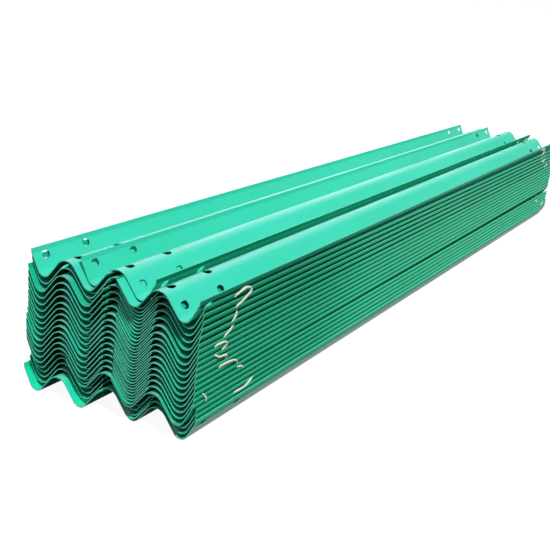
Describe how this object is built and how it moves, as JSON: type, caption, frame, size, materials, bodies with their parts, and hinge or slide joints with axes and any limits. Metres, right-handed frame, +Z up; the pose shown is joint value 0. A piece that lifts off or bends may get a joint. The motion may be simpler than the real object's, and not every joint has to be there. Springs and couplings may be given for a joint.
{
  "type": "bundle of guardrail beams",
  "caption": "Tied bundle of coated two-wave highway guardrail beams, nested in interlocking columns, with slotted bolt holes at both ends.",
  "frame": {"origin": "middle of the bundle's length and width, on the plane that the lowest troughs rest on", "axes": "+X along the rails towards the end where the tiers fan apart, +Y across the bundle, +Z up"},
  "size_m": [4.376, 0.7256, 0.5488],
  "materials": {
    "green_coating": "gloss",
    "tie_rope": "matt"
  },
  "bodies": {
    "root": {"outer_rails_tier_01": "green_coating", "middle_rail_tier_01": "green_coating", "outer_rails_tier_02": "green_coating", "middle_rail_tier_02": "green_coating", "outer_rails_tier_03": "green_coating", "middle_rail_tier_03": "green_coating", "outer_rails_tier_04": "green_coating", "middle_rail_tier_04": "green_coating", "outer_rails_tier_05": "green_coating", "middle_rail_tier_05": "green_coating", "outer_rails_tier_06": "green_coating", "middle_rail_tier_06": "green_coating", "outer_rails_tier_07": "green_coating", "middle_rail_tier_07": "green_coating", "outer_rails_tier_08": "green_coating", "middle_rail_tier_08": "green_coating", "outer_rails_tier_09": "green_coating", "middle_rail_tier_09": "green_coating", "outer_rails_tier_10": "green_coating", "middle_rail_tier_10": "green_coating", "outer_rails_tier_11": "green_coating", "middle_rail_tier_11": "green_coating", "outer_rails_tier_12": "green_coating", "middle_rail_tier_12": "green_coating", "outer_rails_tier_13": "green_coating", "middle_rail_tier_13": "green_coating", "outer_rails_tier_14": "green_coating", "middle_rail_tier_14": "green_coating", "outer_rails_tier_15": "green_coating", "middle_rail_tier_15": "green_coating", "outer_rails_tier_16": "green_coating", "middle_rail_tier_16": "green_coating", "outer_rails_tier_17": "green_coating", "middle_rail_tier_17": "green_coating", "outer_rails_tier_18": "green_coating", "middle_rail_tier_18": "green_coating", "outer_rails_tier_19": "green_coating", "middle_rail_tier_19": "green_coating", "outer_rails_tier_20": "green_coating", "middle_rail_tier_20": "green_coating", "left_far_tie": "tie_rope", "left_near_tie": "tie_rope", "right_far_tie": "tie_rope", "right_near_tie": "tie_rope"}
  },
  "joints": []
}
